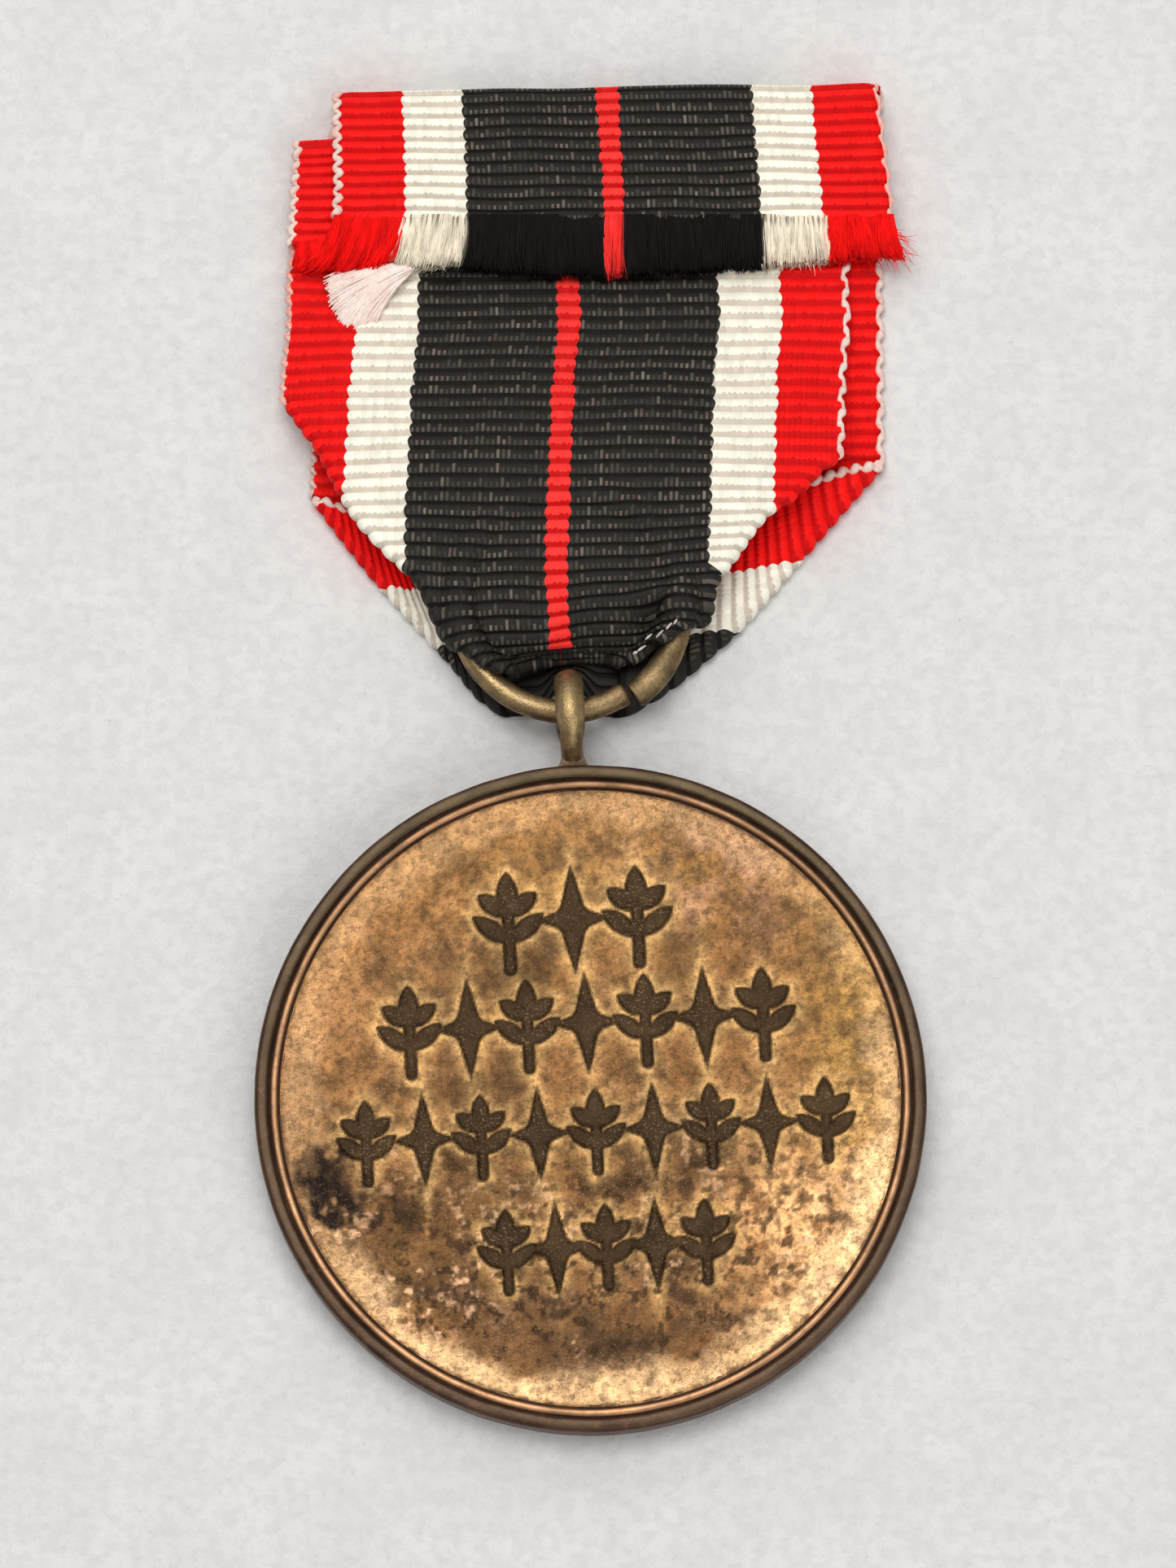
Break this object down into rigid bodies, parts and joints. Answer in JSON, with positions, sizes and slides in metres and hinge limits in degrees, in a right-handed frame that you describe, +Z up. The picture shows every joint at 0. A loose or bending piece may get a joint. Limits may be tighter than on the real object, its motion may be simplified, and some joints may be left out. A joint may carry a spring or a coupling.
{
  "type": "military service medal",
  "caption": "Round struck bronze service medal with raised edge, wire eyelet and split ring, on a striped grosgrain ribbon folded through the ring, lying flat.",
  "frame": {"origin": "middle of the footprint, on the surface that the medal lies on", "axes": "+Z up through the disc's visible face, +Y from the disc to the ribbon's hem, +X across the ribbon to the right"},
  "size_m": [0.0324, 0.0672, 0.0049],
  "materials": {
    "disc_bronze": "toned struck bronze, satin, with brown patina",
    "eyelet_brass": "toned drawn brass wire, worn bright on top",
    "solder": "dull hard-solder fillet",
    "ring_brass": "toned drawn brass wire, matt",
    "ribbon_cloth": "ribbed rayon and cotton grosgrain, striped",
    "frayed_thread": "loose soft threads"
  },
  "bodies": {
    "ribbon_upper": {"ribbon_outer_fold": "ribbon_cloth", "ribbon_inner_fold": "ribbon_cloth", "outer_fringe": "frayed_thread", "inner_fringe": "frayed_thread", "fibre_tuft": "frayed_thread"},
    "ribbon_lower": {"ribbon_front_panel": "ribbon_cloth", "ribbon_left_flap": "ribbon_cloth", "ribbon_right_flap": "ribbon_cloth", "ribbon_ring_turn": "ribbon_cloth", "ribbon_back_panel": "ribbon_cloth"},
    "ring": {"suspension_ring": "ring_brass"},
    "medal": {"medal_disc": "disc_bronze", "eyelet_loop": "eyelet_brass", "eyelet_solder": "solder"}
  },
  "joints": [
    {"name": "ribbon_bend", "type": "hinge", "parent": "ribbon_upper", "child": "ribbon_lower", "pos_m": [0, 0.01943, 0.00108], "axis": [1, 0, 0], "range_deg": [-45, 45]},
    {"name": "ring_sway", "type": "hinge", "parent": "ribbon_lower", "child": "ring", "pos_m": [-0.00105, 0.00713, 0.0024], "axis": [0, 0, 1], "range_deg": [-18, 18]},
    {"name": "medal_swing", "type": "hinge", "parent": "ring", "child": "medal", "pos_m": [-0.00098, 0.00168, 0.0024], "axis": [1, 0, 0], "range_deg": [-120, 95]}
  ]
}
